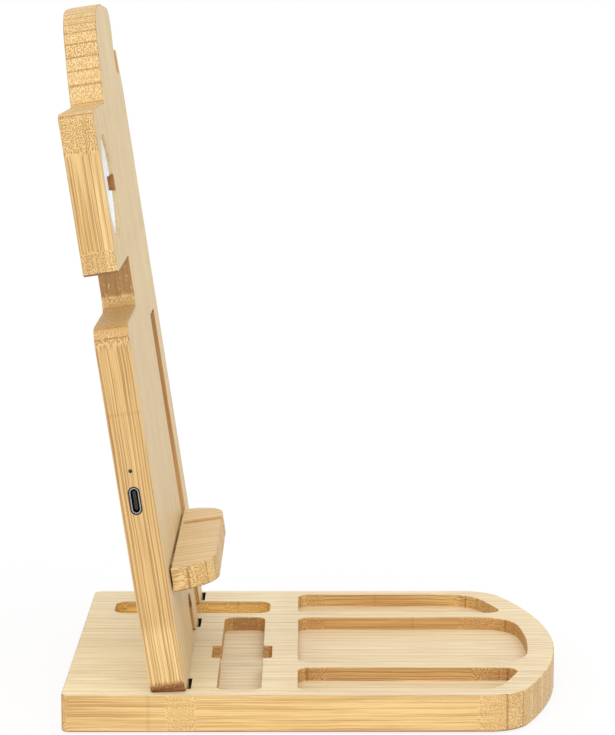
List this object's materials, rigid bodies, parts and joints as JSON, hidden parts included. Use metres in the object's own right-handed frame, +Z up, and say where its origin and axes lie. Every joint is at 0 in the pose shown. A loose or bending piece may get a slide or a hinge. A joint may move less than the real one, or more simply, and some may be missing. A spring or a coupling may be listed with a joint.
{
  "type": "charging station organizer",
  "caption": "Bamboo desk stand: tray base with a plug-in leaning upright that has a phone shelf, a watch cradle, cable cut-outs and a charging coil fed by a side port.",
  "frame": {"origin": "middle of the whole object's outline, on the surface that the feet rest on", "axes": "+X towards the right side as seen from the front, -Y towards the curved front, +Z up"},
  "size_m": [0.152, 0.1793, 0.2475],
  "materials": {
    "bamboo": "sanded, clear oiled laminated bamboo",
    "foot_rubber": "matt soft rubber",
    "white_plastic": "smooth moulded white",
    "steel": "plain zinc and nickel",
    "copper": "enamelled copper wire",
    "ferrite": "dark sintered ferrite",
    "board_green": "solder mask",
    "black_plastic": "fine moulded black",
    "ceramic": "fired ceramic",
    "gold": "gold plated",
    "lamp_resin": "clear resin",
    "smoked_plastic": "smoked clear"
  },
  "bodies": {
    "base": {"base_board": "bamboo", "foot_back_left": "foot_rubber", "foot_back_right": "foot_rubber", "foot_front_left": "foot_rubber", "foot_front_right": "foot_rubber"},
    "upright": {"upright_board": "bamboo", "watch_cradle": "white_plastic", "back_cover": "bamboo", "cover_screws": "steel", "charging_coil": "copper", "coil_ferrite": "ferrite", "coil_leads": "copper", "circuit_board": "board_green", "circuit_board_screws": "steel", "controller_chip": "black_plastic", "power_inductor": "ferrite", "resonant_capacitors": "ceramic", "usb_c_shell": "steel", "usb_c_tongue": "black_plastic", "usb_c_contacts": "gold", "port_bezel": "black_plastic", "status_led": "lamp_resin", "light_pipe": "smoked_plastic"},
    "shelf": {"phone_shelf": "bamboo"}
  },
  "joints": [
    {"name": "upright_lift", "type": "slide", "parent": "base", "child": "upright", "axis": [0, 0.1461, 0.9893], "range_m": [0, 0.0086]},
    {"name": "shelf_pull", "type": "slide", "parent": "upright", "child": "shelf", "axis": [0, -0.9893, 0.1461], "range_m": [0, 0.0078]}
  ]
}
